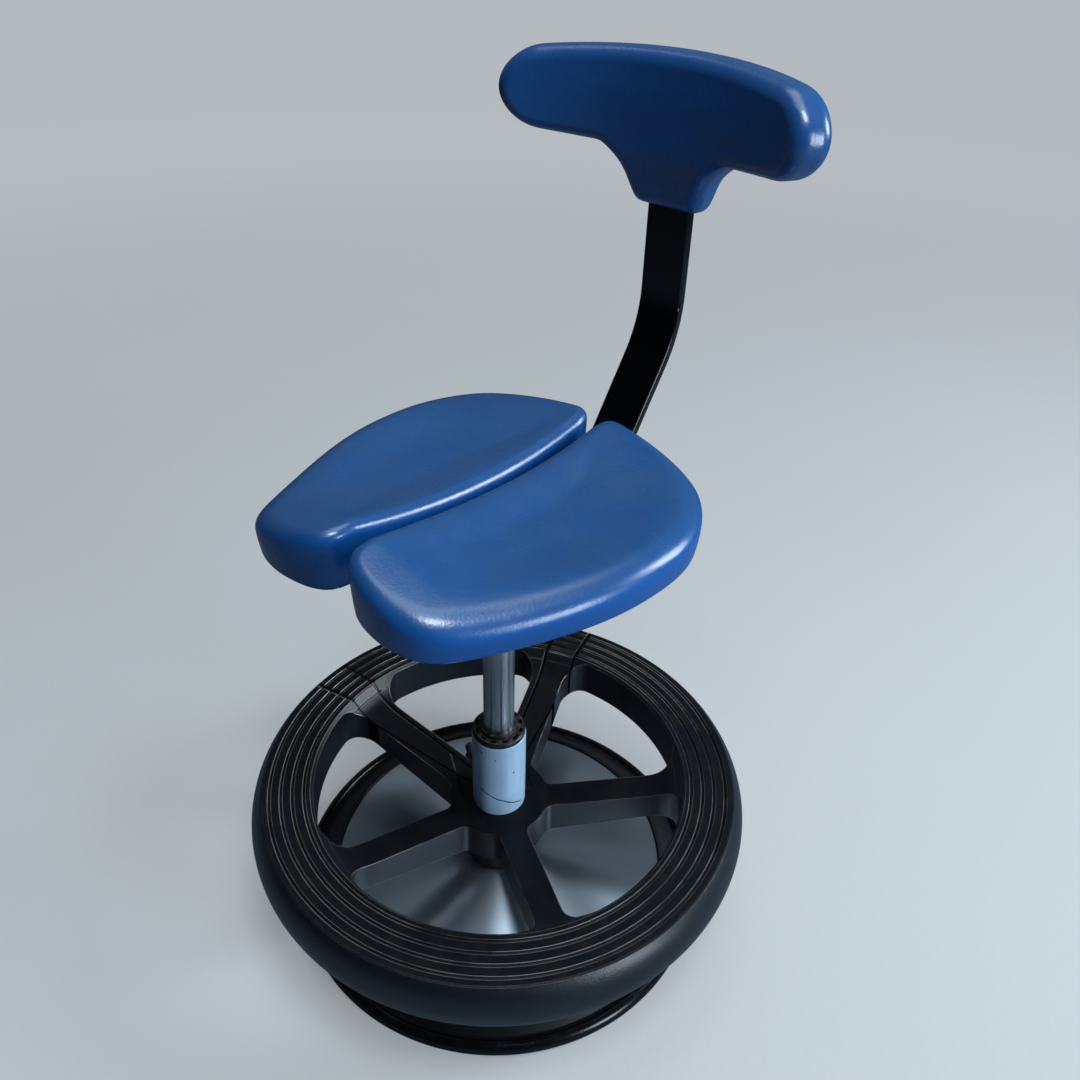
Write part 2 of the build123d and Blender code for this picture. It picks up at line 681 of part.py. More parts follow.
# ---- all the parts ------------------------------------------------------------------------------
ring = whole_foot_ring()
turned_parts = {
    "base_weight": make_base_weight(),
    "base_edge_ring": make_base_edge_ring(),
    "base_screws": make_base_screws(),
    "base_cover": make_base_cover(),
    "column_boss": make_column_boss(),
    "column_screws": make_column_screws(),
    "column_tube": make_column_tube(),
    "guide_bush": make_guide_bush(),
    "foot_ring": make_foot_ring(ring),
    "foot_ring_rear": make_foot_ring_rear(ring),
    "ring_clamp_screws": make_ring_clamp_screws(),
    "ring_knob": make_ring_knob(),
    "ring_knob_stud": make_ring_knob_stud(),
}
pad = make_seat_pad_left()
board = make_seat_board_left()
straight_parts = {
    "thrust_bearing": make_thrust_bearing(),
    "spring_rod": make_spring_rod(),
    "rod_shoulder": make_rod_shoulder(),
    "rod_piston": make_rod_piston(),
    "rod_clip": make_rod_clip(),
    "gas_cylinder": make_gas_cylinder(),
    "cylinder_gland": make_cylinder_gland(),
    "release_pin": make_release_pin(),
    "mount_socket": make_mount_socket(),
    "mount_plate": make_mount_plate(),
    "plate_screws": make_plate_screws(),
    "lever_bracket": make_lever_bracket(),
    "lever_pin": make_lever_pin(),
    "height_lever": make_height_lever(),
    "lever_grip": make_lever_grip(),
    "seat_pad_left": pad,
    "seat_pad_right": mirror(pad, Plane.YZ),
    "seat_board_left": board,
    "seat_board_right": mirror(board, Plane.YZ),
    "back_bracket": make_back_bracket(),
    "bracket_screws": make_bracket_screws(),
    "back_knob": make_back_knob(),
    "back_knob_stud": make_back_knob_stud(),
    "back_bar": make_back_bar(),
    "back_board": make_back_board(),
    "back_screws": make_back_screws(),
    "back_pad": make_back_pad(),
}

for name, shape in turned_parts.items():
    export_step(Rot(0, 0, base_turn) * shape, f"parts/{name}.step")

for name, shape in straight_parts.items():
    export_step(shape, f"parts/{name}.step")
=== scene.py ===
import json
import math

import bmesh
import bpy
import numpy as np
from mathutils import Matrix, Vector


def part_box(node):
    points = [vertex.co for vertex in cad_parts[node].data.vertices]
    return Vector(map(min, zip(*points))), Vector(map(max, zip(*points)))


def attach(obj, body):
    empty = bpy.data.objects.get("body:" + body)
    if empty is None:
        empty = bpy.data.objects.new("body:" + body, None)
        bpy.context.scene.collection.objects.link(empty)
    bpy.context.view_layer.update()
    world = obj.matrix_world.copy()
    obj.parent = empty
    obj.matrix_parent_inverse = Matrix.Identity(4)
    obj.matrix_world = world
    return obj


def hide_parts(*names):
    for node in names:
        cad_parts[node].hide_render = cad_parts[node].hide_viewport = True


# Looks of the split-seat posture chair. Metres, +Z up, chair front towards -Y, sitter's left towards +X.
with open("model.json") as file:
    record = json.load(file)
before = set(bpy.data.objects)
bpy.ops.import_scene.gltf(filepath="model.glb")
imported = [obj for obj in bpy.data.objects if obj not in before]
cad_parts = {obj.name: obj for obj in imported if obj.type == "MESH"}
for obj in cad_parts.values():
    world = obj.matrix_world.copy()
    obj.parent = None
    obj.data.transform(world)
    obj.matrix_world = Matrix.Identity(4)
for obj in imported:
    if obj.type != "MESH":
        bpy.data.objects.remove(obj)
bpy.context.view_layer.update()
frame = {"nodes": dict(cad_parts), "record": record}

# ---- camera and light ---------------------------------------------------------------------------
camera_place = (0.4434, -0.4477, 0.8452)
camera_heading = 132.26      # compass direction the camera looks in, from +X towards +Y, degrees
camera_drop = 34.75          # how far it looks below the horizon, degrees
camera_roll = 1.27
camera_lens = 32.25          # on a 36 mm wide sensor
camera_shift = 0.0068
floor_size = 60.0
floor_glow = 0.27            # how brightly the floor shines to the camera beside the chair
room_glow = 0.52             # and how brightly the far floor and the room do
room_tint = (0.88, 0.94, 1.0)

# ---- foot ring and column -----------------------------------------------------------------------
knob_low, knob_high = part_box("ring_knob")
knob_bearing = math.atan2(knob_low[1] + knob_high[1], knob_low[0] + knob_high[0])
ring_turn = knob_bearing - math.pi / 2       # the knob sits in the middle of the ring's rear segment
column_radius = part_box("column_tube")[1][0]
split_lines = ((54.0, 0.010), (47.0, 0.0))   # turn in degrees and offset of the two cuts across a spoke
ring_wear_and_highlight_side = (-0.95, 0.30, 0.0)          # direction of the side with the brightest edges: partly foot wear, partly painted highlight
scratch_height = 0.1185                      # of the scratch where it crosses the +X side
scratch_slope = 0.0130                       # metres it drops per radian around the column
scratch_middle = -0.70                       # turn of its middle around the column, radians
scratch_ends = (0.95, 0.80)                  # it fades in between these turns from its middle
column_chips = (                             # turn around the column in radians, height, radius
    (-1.49, 0.1872, 0.0013), (-0.92, 0.1816, 0.0006), (-0.23, 0.1620, 0.0009), (-0.88, 0.1596, 0.0005),
    (-1.14, 0.1720, 0.0004), (1.60, 0.1500, 0.0010), (2.70, 0.1300, 0.0008))

# ---- all pads -----------------------------------------------------------------------------------
outline_smoothing = 0.0025   # distance over which an outline's corners are smoothed
face_share = 0.985           # how far towards its middle a pad's face is built of rings

# ---- seat pads ----------------------------------------------------------------------------------
pad_points = 240             # points around a pad's outline
pad_foot_steps = 8           # rings around the bottom edge, the top edge and across the top
pad_edge_steps = 14
pad_top_rows = 30
pad_low_point = 0.4655       # height of the seat's lowest line, beside the gap
pad_low_y = 0.010
pad_dish_reach = 0.140       # how far ahead of the lowest line the top still rises
pad_rise = (0.83, 1.25)      # how steeply the top rises ahead of the lowest line and behind it
pad_fall = 0.0175            # how far the top falls per metre outwards, at the lowest line
pad_fall_growth = (9.5, 6.0)         # how fast that grows ahead of the lowest line and behind it
pad_inner_edge = 0.010       # half of the gap between the pads
pad_cup = 0.0050             # how far the middle of a pad sits below its edges
pad_cup_spread = 1.35        # above 1, the full depth starts before the middle
pad_edge_reach = (0.0105, 0.0190)    # rounding of the top edge beside the gap and outside, inwards
pad_edge_drop = (0.0100, 0.0130)     # the same, downwards
pad_outside = (0.020, 0.120)         # distances from the middle plane between which the rounding grows
pad_foot_rounding = (0.005, 0.007)   # rounding of the bottom edge behind and at the front
pad_front = (-0.03, -0.13)           # y between which it grows towards the front
pad_draft = 0.0015           # how far the sides lean in at the bottom
pad_overhang = 0.0020        # how far the skin hangs below the top of its board

# ---- back pad -----------------------------------------------------------------------------------
back_points = 320            # points around the outline
back_edge_steps = 15         # rings around an edge and across a face
back_face_rows = 34
back_curve_radius = 0.245    # plan radius of the pad's middle surface
back_middle_y = 0.1866
back_half_thickness = 0.0147
back_edge_drop = 0.0112      # rounding of the edges, front to rear
back_edge_reach = (0.0112, 0.0095)   # the same inwards, in the middle and at the ends of the wings
back_end = (0.100, 0.130)    # distances from the middle plane between which it changes
back_middle_height = 0.703
back_crown = 0.0008          # how far the middle of a face stands proud
back_crown_spread = 1.2      # above 1, the full height starts before the middle
wing_reach = 0.1484          # half length of the wings, along their curve
wing_end_reach = 0.034       # length over which the wing's end rounds off in the front view
wing_top = (0.7416, 0.7316)  # height of the top edge in the middle and at the ends
wing_bottom = (0.6710, 0.6794)
wing_neck_join = 0.061       # distance from the middle where the underside turns down into the neck
neck_half_thickness = 0.0118
neck_middle_y = 0.1920
neck_heights = (0.632, 0.674)     # between these the neck swells to the wing's thickness
neck_side = (                     # x and height down the side of the neck to the middle of its underside
    (0.0515, 0.6665), (0.0440, 0.6595), (0.0395, 0.6520), (0.0360, 0.6430),
    (0.0322, 0.6350), (0.0275, 0.6308), (0.0180, 0.6302), (0.0000, 0.6302))


# ---- curves and surfaces ------------------------------------------------------------------------
def evenly_spaced(points, count):
    """The same closed curve with points at equal steps along it."""
    closed = np.vstack([points, points[:1]])
    steps = np.linalg.norm(np.diff(closed, axis=0), axis=1)
    along = np.concatenate([[0.0], np.cumsum(steps)])
    wanted = np.arange(count) / count * along[-1]
    return np.column_stack([np.interp(wanted, along, column) for column in closed.T])


def blurred(points, reach):
    """A closed curve smoothed over a distance along it."""
    spacing = np.linalg.norm(np.roll(points, -1, axis=0) - points, axis=1).mean()
    width = reach / spacing
    offsets = np.arange(-int(3 * width), int(3 * width) + 1)
    weights = np.exp(-0.5 * (offsets / width) ** 2)
    weights /= weights.sum()
    return sum(weight * np.roll(points, -offset, axis=0) for weight, offset in zip(weights, offsets))


def inward_normals(points):
    """Unit normals of a closed counter-clockwise curve, pointing inside."""
    run = np.roll(points, -1, axis=0) - np.roll(points, 1, axis=0)
    normals = np.stack([-run[:, 1], run[:, 0]], axis=1)
    return normals / np.linalg.norm(normals, axis=1, keepdims=True)


def smooth_step(value):
    value = np.clip(value, 0.0, 1.0)
    return value * value * (3 - 2 * value)


def between(value, limits):
    """How far a value has come from the first limit to the second, smoothly, from 0 to 1."""
    return smooth_step((value - limits[0]) / (limits[1] - limits[0]))


def blend(pair, share):
    return pair[0] + (pair[1] - pair[0]) * share


def mesh_from_rings(name, rings, material):
    """A closed skin through rings of points, shut at both ends by a fan."""
    mesh = bmesh.new()
    made = [[mesh.verts.new(point) for point in ring] for ring in rings]
    for lower, upper in zip(made, made[1:]):
        for i in range(len(lower)):
            j = (i + 1) % len(lower)
            mesh.faces.new((lower[i], lower[j], upper[j], upper[i]))
    for ring, order in ((made[0], -1), (made[-1], 1)):
        middle = mesh.verts.new(sum((vert.co for vert in ring), Vector()) / len(ring))
        for i in range(len(ring)):
            corners = (ring[i], ring[(i + 1) % len(ring)], middle)
            mesh.faces.new(corners[::order])
    bmesh.ops.recalc_face_normals(mesh, faces=mesh.faces)
    for face in mesh.faces:
        face.smooth = True
    data = bpy.data.meshes.new(name)
    mesh.to_mesh(data)
    mesh.free()
    piece = bpy.data.objects.new(name, data)
    bpy.context.scene.collection.objects.link(piece)
    data.materials.append(material)
    return piece


# ---- materials ----------------------------------------------------------------------------------
class Shader:
    """A node material built step by step: each call adds a node and returns its output socket."""

    def __init__(self, name):
        self.material = bpy.data.materials.new(name)
        self.material.use_nodes = True
        self.tree = self.material.node_tree
        self.surface = self.tree.nodes["Principled BSDF"]
        self.place = self.add("ShaderNodeTexCoord").outputs["Object"]
        self.facing = self.add("ShaderNodeNewGeometry").outputs["Normal"]

    def add(self, kind, inputs=None, **settings):
        made = self.tree.nodes.new(kind)
        for key, value in settings.items():
            setattr(made, key, value)
        for key, value in (inputs or {}).items():
            if isinstance(value, bpy.types.NodeSocket):
                self.tree.links.new(value, made.inputs[key])
            else:
                made.inputs[key].default_value = value
        return made

    def noise(self, scale, detail=3.0, roughness=0.5, place=None):
        vector = place or self.place
        inputs = {"Vector": vector, "Scale": scale, "Detail": detail, "Roughness": roughness}
        return self.add("ShaderNodeTexNoise", inputs).outputs["Fac"]

    def cells(self, scale, smooth=0.4):
        inputs = {"Vector": self.place, "Scale": scale, "Smoothness": smooth}
        return self.add("ShaderNodeTexVoronoi", inputs, feature="SMOOTH_F1").outputs["Distance"]

    def calc(self, operation, first, second=0.0):
        return self.add("ShaderNodeMath", {0: first, 1: second}, operation=operation).outputs[0]

    def band(self, value, low, high, start=0.0, end=1.0):
        """Value mapped from low..high to start..end, smoothly, and held beyond."""
        inputs = {"Value": value, "From Min": low, "From Max": high, "To Min": start, "To Max": end}
        return self.add("ShaderNodeMapRange", inputs, interpolation_type="SMOOTHSTEP").outputs["Result"]

    def mix(self, amount, first, second):
        inputs = {0: amount, 6: paint(first), 7: paint(second)}
        return self.add("ShaderNodeMix", inputs, data_type="RGBA").outputs[2]

    def part(self, vector, axis):
        return self.add("ShaderNodeSeparateXYZ", {0: vector}).outputs[axis]

    def stretched(self, factors):
        """The object's coordinates with each axis scaled, for grain that runs one way."""
        inputs = {0: self.place, 1: factors}
        return self.add("ShaderNodeVectorMath", inputs, operation="MULTIPLY").outputs[0]

    def radius(self):
        """Distance from the chair's middle axis."""
        flat = self.stretched((1.0, 1.0, 0.0))
        return self.add("ShaderNodeVectorMath", {0: flat}, operation="LENGTH").outputs["Value"]

    def along(self, first, second):
        """How far one vector reaches in the direction of the other."""
        inputs = {0: first, 1: second}
        return self.add("ShaderNodeVectorMath", inputs, operation="DOT_PRODUCT").outputs["Value"]

    def edges(self, reach, low, high):
        """1 on sharp edges, fading out over the reach."""
        soft = self.add("ShaderNodeBevel", {"Radius": reach}, samples=6).outputs[0]
        return self.band(self.along(soft, self.facing), 1.0 - low, 1.0 - high)

    def bump(self, height, depth, under=None):
        inputs = {"Height": height, "Distance": depth}
        if under is not None:
            inputs["Normal"] = under
        return self.add("ShaderNodeBump", inputs).outputs[0]

    def rounded(self, reach):
        """A normal that rounds the sharp edges of machined parts."""
        return self.add("ShaderNodeBevel", {"Radius": reach}, samples=6).outputs[0]

    def finish(self, **values):
        for key, value in values.items():
            socket = self.surface.inputs[key.replace("_", " ")]
            if isinstance(value, bpy.types.NodeSocket):
                self.tree.links.new(value, socket)
            else:
                socket.default_value = paint(value)
        return self.material


def paint(value):
    """A colour triple gets its alpha; anything else stays as it is."""
    return (*value, 1.0) if isinstance(value, tuple) and len(value) == 3 else value


def pad_skin():
    """Moulded foam skin: satin, fine-grained, scuffed on top, with the seat pads' sides painted a
    brighter blue as painted light.
    """
    skin = Shader("pad_skin")
    drift = skin.noise(9.0, 4.0)
    blue = skin.mix(skin.band(drift, 0.3, 0.7), (0.0095, 0.066, 0.228), (0.0125, 0.078, 0.262))
    top = skin.band(skin.part(skin.facing, 2), 0.75, 0.98)
    worn = skin.calc("MULTIPLY", top, skin.band(skin.noise(22.0, 6.0, 0.65), 0.35, 0.75, 0.25, 0.6))
    scuffed = skin.mix(worn, blue, (0.024, 0.084, 0.200))
    # Painted light: the seat pads' sides are painted a brighter blue than the skin, standing in for the
    # bluish light that falls on them.
    seat = skin.band(skin.part(skin.place, 2), 0.60, 0.50)
    side = skin.calc("MULTIPLY", seat, skin.band(skin.part(skin.facing, 2), 0.70, 0.25))
    colour = skin.mix(side, scuffed, (0.007, 0.085, 0.330))
    ripple = skin.bump(skin.noise(130.0, 1.0), 0.00008)
    fine = skin.bump(skin.noise(520.0, 1.0), 0.00010, ripple)
    rough = skin.band(skin.noise(45.0, 3.0), 0.3, 0.7, 0.25, 0.30)
    shine = skin.band(side, 0.0, 1.0, 0.8, 0.45)
    return skin.finish(Base_Color=colour, Roughness=rough, Normal=fine, Specular_IOR_Level=shine)


def black_enamel():
    """Deep gloss black on the flat bar, with a little dust and faint orange peel."""
    coat = Shader("black_enamel")
    peel = coat.bump(coat.noise(320.0, 2.0), 0.00004, coat.rounded(0.0014))
    dust = coat.band(coat.noise(900.0, 2.0), 0.70, 0.78)
    colour = coat.mix(dust, (0.0012, 0.0014, 0.0022), (0.02, 0.021, 0.023))
    rough = coat.band(coat.noise(30.0, 4.0), 0.3, 0.8, 0.07, 0.15)
    return coat.finish(Base_Color=colour, Roughness=rough, Normal=peel, Specular_IOR_Level=0.4)


def black_powder_coat():
    """Satin black powder coat on brackets and the column boss."""
    coat = Shader("black_powder_coat")
    texture = coat.bump(coat.noise(1400.0, 2.0), 0.0001, coat.rounded(0.0008))
    colour = coat.mix(coat.noise(40.0), (0.010, 0.011, 0.013), (0.022, 0.023, 0.025))
    return coat.finish(Base_Color=colour, Roughness=0.42, Normal=texture)


def distance_to_split(coat):
    """Distance to the lines where the foot ring's rear segment parts from the rest."""
    inputs = {"Vector": coat.place, "Angle": -ring_turn}
    turned = coat.add("ShaderNodeVectorRotate", inputs, rotation_type="Z_AXIS").outputs[0]
    across = coat.calc("ABSOLUTE", coat.part(turned, 0))
    back = coat.part(turned, 1)
    away = []
    for angle, offset in split_lines:
        turn = math.radians(angle)
        reach = coat.calc("SUBTRACT", coat.calc("MULTIPLY", back, math.cos(turn)),
                          coat.calc("MULTIPLY", across, math.sin(turn)))
        away.append(coat.calc("ABSOLUTE", coat.calc("SUBTRACT", reach, offset)))
    return coat.calc("MINIMUM", *away)


def worn_ring_coat():
    """Dark textured coat of the cast ring: dusty on top and bright along edges, most on one side, where
    the bright edges are partly rubbed wear and partly painted highlight; the faces at the split are
    painted black as painted shade.
    """
    coat = Shader("worn_ring_coat")
    split = distance_to_split(coat)
    kept = coat.calc("MULTIPLY", coat.band(split, 0.0015, 0.003), coat.band(coat.radius(), 0.050, 0.056))
    # Painted shade: the faces at the split gap are painted black and lose their specular.
    clear_of_gap_shade = coat.band(split, 0.0004, 0.0011)
    up = coat.band(coat.part(coat.facing, 2), 0.6, 0.95)
    scuff = coat.calc("MULTIPLY", up, coat.band(coat.noise(55.0, 8.0, 0.7), 0.38, 0.72))
    dark = coat.mix(scuff, (0.0045, 0.0065, 0.0105), (0.0100, 0.0095, 0.0095))
    # Bright edges: partly rubbed wear, partly painted highlight where edges catch the light, strongest
    # on one side.
    worn = coat.band(coat.noise(11.0, 6.0, 0.7), 0.36, 0.56, 0.12, 1.0)
    side = coat.along(coat.place, ring_wear_and_highlight_side)
    worn = coat.calc("MULTIPLY", worn, coat.band(side, -0.05, 0.17, 0.42, 1.0))
    rub_and_highlight = coat.calc("MULTIPLY", coat.edges(0.0014, 0.01, 0.11), coat.calc("MULTIPLY", worn, kept))
    colour = coat.mix(clear_of_gap_shade, (0.0008, 0.0008, 0.0010), coat.mix(rub_and_highlight, dark, (0.62, 0.59, 0.55)))
    texture = coat.bump(coat.noise(850.0, 2.0), 0.00022, coat.rounded(0.0011))
    rough = coat.band(scuff, 0.0, 1.0, 0.36, 0.50)
    shine = coat.calc("MULTIPLY", coat.band(up, 0.0, 1.0, 0.62, 0.10), clear_of_gap_shade)
    return coat.finish(Base_Color=colour, Metallic=coat.calc("MULTIPLY", rub_and_highlight, 0.6), Roughness=rough,
                       Normal=texture, Specular_IOR_Level=shine)


def column_paint():
    """Pale blue-grey paint with one long slanting scratch near the foot and a few chips."""
    coat = Shader("column_paint")
    height = coat.part(coat.place, 2)
    turn = coat.calc("ARCTAN2", coat.part(coat.place, 1), coat.part(coat.place, 0))
    drift = coat.band(coat.noise(28.0, 5.0), 0.3, 0.7)
    pale = coat.mix(drift, (0.43, 0.62, 0.86), (0.51, 0.70, 0.93))
    runs = coat.noise(1.0, 4.0, 0.6, coat.stretched((260.0, 260.0, 9.0)))
    streak = coat.band(runs, 0.55, 0.75, 0.0, 0.35)
    pale = coat.mix(streak, pale, (0.32, 0.40, 0.52))
    line = coat.calc("ADD", coat.calc("MULTIPLY", turn, -scratch_slope), scratch_height)
    wander = coat.calc("MULTIPLY", coat.calc("SUBTRACT", coat.noise(60.0, 2.0), 0.5), 0.003)
    away = coat.calc("ABSOLUTE", coat.calc("SUBTRACT", height, coat.calc("ADD", line, wander)))
    within = coat.band(coat.calc("ABSOLUTE", coat.calc("SUBTRACT", turn, scratch_middle)), *scratch_ends)
    damage = coat.calc("MULTIPLY", coat.band(away, 0.0011, 0.0005), within)
    ragged = coat.band(coat.noise(700.0, 3.0), 0.3, 0.7, -0.0005, 0.0005)
    for chip_turn, chip_height, chip_size in column_chips:
        arm = coat.calc("MULTIPLY", coat.calc("SUBTRACT", turn, chip_turn), column_radius)
        rise = coat.calc("SUBTRACT", height, chip_height)
        square = coat.calc("ADD", coat.calc("MULTIPLY", arm, arm), coat.calc("MULTIPLY", rise, rise))
        reach = coat.calc("SQRT", square)
        spot = coat.band(coat.calc("ADD", reach, ragged), chip_size * 1.15, chip_size * 0.85)
        damage = coat.calc("MAXIMUM", damage, spot)
    colour = coat.mix(damage, pale, (0.010, 0.011, 0.014))
    soft = coat.bump(coat.noise(500.0, 2.0), 0.00004)
    normal = coat.bump(coat.calc("MULTIPLY", damage, -1.0), 0.0002, soft)
    return coat.finish(Base_Color=colour, Roughness=0.33, Normal=normal,
                       Coat_Weight=0.2, Coat_Roughness=0.15)


def spun_disc():
    """Steel turned on a lathe: fine circular lines that stretch highlights across them."""
    steel = Shader("spun_disc")
    inputs = {"W": steel.radius(), "Scale": 2600.0, "Detail": 2.0, "Roughness": 0.6}
    lines = steel.add("ShaderNodeTexNoise", inputs, noise_dimensions="1D").outputs["Fac"]
    tangent = steel.add("ShaderNodeTangent", direction_type="RADIAL", axis="Z").outputs[0]
    colour = steel.mix(steel.band(lines, 0.2, 0.8), (0.60, 0.70, 0.82), (0.66, 0.76, 0.88))
    haze = steel.band(steel.noise(14.0, 4.0), 0.3, 0.7, 0.29, 0.34)
    return steel.finish(Base_Color=colour, Metallic=0.92, Roughness=haze, Tangent=tangent,
                        Anisotropic=0.9, Anisotropic_Rotation=0.25)


def base_rubber():
    """Satin black edge ring around the steel disc, glossier on the bead at its rim."""
    rubber = Shader("base_rubber")
    rim = rubber.band(rubber.radius(), 0.184, 0.190)
    dust = rubber.calc("MULTIPLY", rubber.band(rubber.part(rubber.facing, 2), 0.4, 0.9),
                       rubber.band(rubber.noise(70.0, 6.0, 0.65), 0.45, 0.75))
    colour = rubber.mix(dust, (0.0040, 0.0050, 0.0070), (0.014, 0.014, 0.015))
    texture = rubber.bump(rubber.noise(1600.0, 2.0), 0.00005, rubber.rounded(0.001))
    rough = rubber.band(rim, 0.0, 1.0, 0.50, 0.18)
    return rubber.finish(Base_Color=colour, Roughness=rough, Normal=texture, Specular_IOR_Level=0.35)


def ground_chrome():
    """Hard-chromed tube, ground so that reflections stretch along it, under an oil film."""
    chrome = Shader("ground_chrome")
    film = chrome.band(chrome.noise(25.0, 3.0), 0.35, 0.7)
    colour = chrome.mix(film, (0.72, 0.75, 0.79), (0.64, 0.66, 0.70))
    rough = chrome.band(film, 0.0, 1.0, 0.22, 0.26)
    tangent = chrome.add("ShaderNodeTangent", direction_type="RADIAL", axis="Z").outputs[0]
    return chrome.finish(Base_Color=colour, Metallic=1.0, Roughness=rough, Tangent=tangent,
                         Anisotropic=0.9, Anisotropic_Rotation=0.25)


def zinc_steel():
    """Zinc-plated screws, studs and small steel parts."""
    steel = Shader("zinc_steel")
    cloud = steel.noise(220.0, 4.0)
    colour = steel.mix(cloud, (0.45, 0.45, 0.46), (0.62, 0.61, 0.57))
    rough = steel.band(cloud, 0.3, 0.7, 0.24, 0.40)
    return steel.finish(Base_Color=colour, Metallic=1.0, Roughness=rough, Normal=steel.rounded(0.0004))


def bush_plastic():
    """Black moulded guide bush, dusty and greasy on its top face."""
    plastic = Shader("bush_plastic")
    up = plastic.band(plastic.part(plastic.facing, 2), 0.7, 0.95)
    dirt = plastic.calc("MULTIPLY", up, plastic.band(plastic.noise(260.0, 6.0, 0.7), 0.42, 0.62))
    colour = plastic.mix(dirt, (0.010, 0.010, 0.011), (0.085, 0.075, 0.066))
    texture = plastic.bump(plastic.noise(1500.0, 3.0), 0.00012, plastic.rounded(0.0006))
    rough = plastic.band(dirt, 0.0, 1.0, 0.32, 0.75)
    return plastic.finish(Base_Color=colour, Roughness=rough, Normal=texture)


def knob_plastic():
    """Matte moulded plastic of knobs and the lever's grip."""
    plastic = Shader("knob_plastic")
    texture = plastic.bump(plastic.cells(1300.0), 0.00012, plastic.rounded(0.0008))
    colour = plastic.mix(plastic.noise(60.0), (0.012, 0.012, 0.013), (0.024, 0.024, 0.025))
    return plastic.finish(Base_Color=colour, Roughness=0.48, Normal=texture)


def cast_iron():
    """Rough sand-cast weight under the disc."""
    iron = Shader("cast_iron")
    sand = iron.noise(700.0, 6.0, 0.7)
    colour = iron.mix(iron.noise(35.0, 5.0), (0.030, 0.029, 0.028), (0.065, 0.055, 0.048))
    return iron.finish(Base_Color=colour, Metallic=0.4, Roughness=0.65, Normal=iron.bump(sand, 0.0005))


def plywood():
    """Birch plywood boards under the pads: long grain on the faces, plies along the edges."""
    wood = Shader("plywood")
    grain = wood.noise(1.0, 6.0, 0.6, wood.stretched((420.0, 16.0, 420.0)))
    face = wood.mix(wood.band(grain, 0.35, 0.7), (0.52, 0.35, 0.19), (0.36, 0.22, 0.11))
    plies = wood.calc("SINE", wood.calc("MULTIPLY", wood.part(wood.place, 2), 4200.0))
    edge = wood.mix(wood.band(plies, -0.3, 0.3), (0.47, 0.31, 0.17), (0.21, 0.12, 0.06))
    side = wood.band(wood.calc("ABSOLUTE", wood.part(wood.facing, 2)), 0.6, 0.3)
    colour = wood.mix(side, face, edge)
    return wood.finish(Base_Color=colour, Roughness=0.6, Normal=wood.bump(grain, 0.0002))


finishes = {
    "pad_foam": pad_skin(),
    "board": plywood(),
    "black_bar": black_enamel(),
    "black_coat": black_powder_coat(),
    "ring_coat": worn_ring_coat(),
    "column_paint": column_paint(),
    "base_black": base_rubber(),
    "disc_steel": spun_disc(),
    "cast_weight": cast_iron(),
    "chrome": ground_chrome(),
    "steel": zinc_steel(),
    "bush_plastic": bush_plastic(),
    "knob_plastic": knob_plastic(),
}


def dress_frame():
    """Every CAD node gets the finish of its material slot."""
    for entry in frame["record"]["subparts"]:
        data = frame["nodes"][entry["node"]].data
        data.materials.clear()
        data.materials.append(finishes[entry["material_slot"]])


# ---- seat pads ----------------------------------------------------------------------------------
def plan_outline(node):
    """The node's outline at its underside, counter-clockwise in plan."""
    points = np.array([vert.co for vert in frame["nodes"][node].data.vertices])
    low = points[points[:, 2] < points[:, 2].min() + 1e-5][:, :2]
    low = np.unique(low.round(6), axis=0)
    middle = (low.max(axis=0) + low.min(axis=0)) / 2
    order = np.argsort(np.arctan2(low[:, 1] - middle[1], low[:, 0] - middle[0]))
    return blurred(evenly_spaced(low[order], pad_points), outline_smoothing)


def pad_top_height(x, y):
    """Height of the left pad's top: dished along the seat, falling outwards at the front and rear."""
    away = np.maximum(y - pad_low_y, -pad_dish_reach)
    rise = np.where(away < 0, *pad_rise)
    fall = pad_fall + np.where(away < 0, *pad_fall_growth) * away * away
    return pad_low_point + rise * away * away - fall * (x - pad_inner_edge)


def quarter_round(t):
    """Fall of a quarter circle, from 1 at its outer edge (t = 0) to 0 at its crest (t = 1)."""
    return 1.0 - np.sqrt(np.maximum(0.0, 1.0 - (1.0 - t) ** 2))


def make_seat_pad(node, side):
    """One moulded pad; side is 1 for the sitter's left and -1 for the right."""
    outline = plan_outline(node) * (side, 1.0)
    outline = outline[::side]
    inward = inward_normals(outline)
    middle = outline.mean(axis=0)
    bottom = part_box(node)[0][2] - pad_overhang
    foot = blend(pad_foot_rounding, between(outline[:, 1], pad_front))
    outside = between(outline[:, 0], pad_outside)
    reach = blend(pad_edge_reach, outside)
    drop = blend(pad_edge_drop, outside)
    rings = []

    def ring(plan, height):
        heights = np.broadcast_to(height, len(plan))
        rings.append(np.column_stack([plan[:, 0] * side, plan[:, 1], heights]))

    inner_foot = outline + inward * (pad_draft + foot)[:, None]
    for share in (0.04, 0.2, 0.4, 0.6, 0.8, 0.93):
        ring(middle + (inner_foot - middle) * share, bottom)
    for step in range(pad_foot_steps + 1):
        turn = math.radians(90.0 * step / pad_foot_steps)
        inset = pad_draft + foot * (1 - math.sin(turn))
        ring(outline + inward * inset[:, None], bottom + foot * (1 - math.cos(turn)))
    shoulder = pad_top_height(outline[:, 0], outline[:, 1]) - drop
    for share in (0.25, 0.5, 0.75):
        height = bottom + foot + (shoulder - bottom - foot) * share
        ring(outline + inward * (pad_draft * (1 - share) ** 2), height)
    for step in range(pad_edge_steps + 1):
        t = 1 - math.cos(math.radians(90.0 * step / pad_edge_steps))
        plan = outline + inward * (reach * t)[:, None]
        top = pad_top_height(plan[:, 0], plan[:, 1])
        ring(plan, top - drop * quarter_round(t))
    crest = outline + inward * reach[:, None]
    for share in np.linspace(0.0, face_share, pad_top_rows)[1:]:
        plan = crest + (middle - crest) * share
        cup = pad_cup * smooth_step(share * pad_cup_spread)
        ring(plan, pad_top_height(plan[:, 0], plan[:, 1]) - cup)
    name = "moulded_" + node
    piece = mesh_from_rings(name, rings, finishes["pad_foam"])
    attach(piece, "seat")
    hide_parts(node)


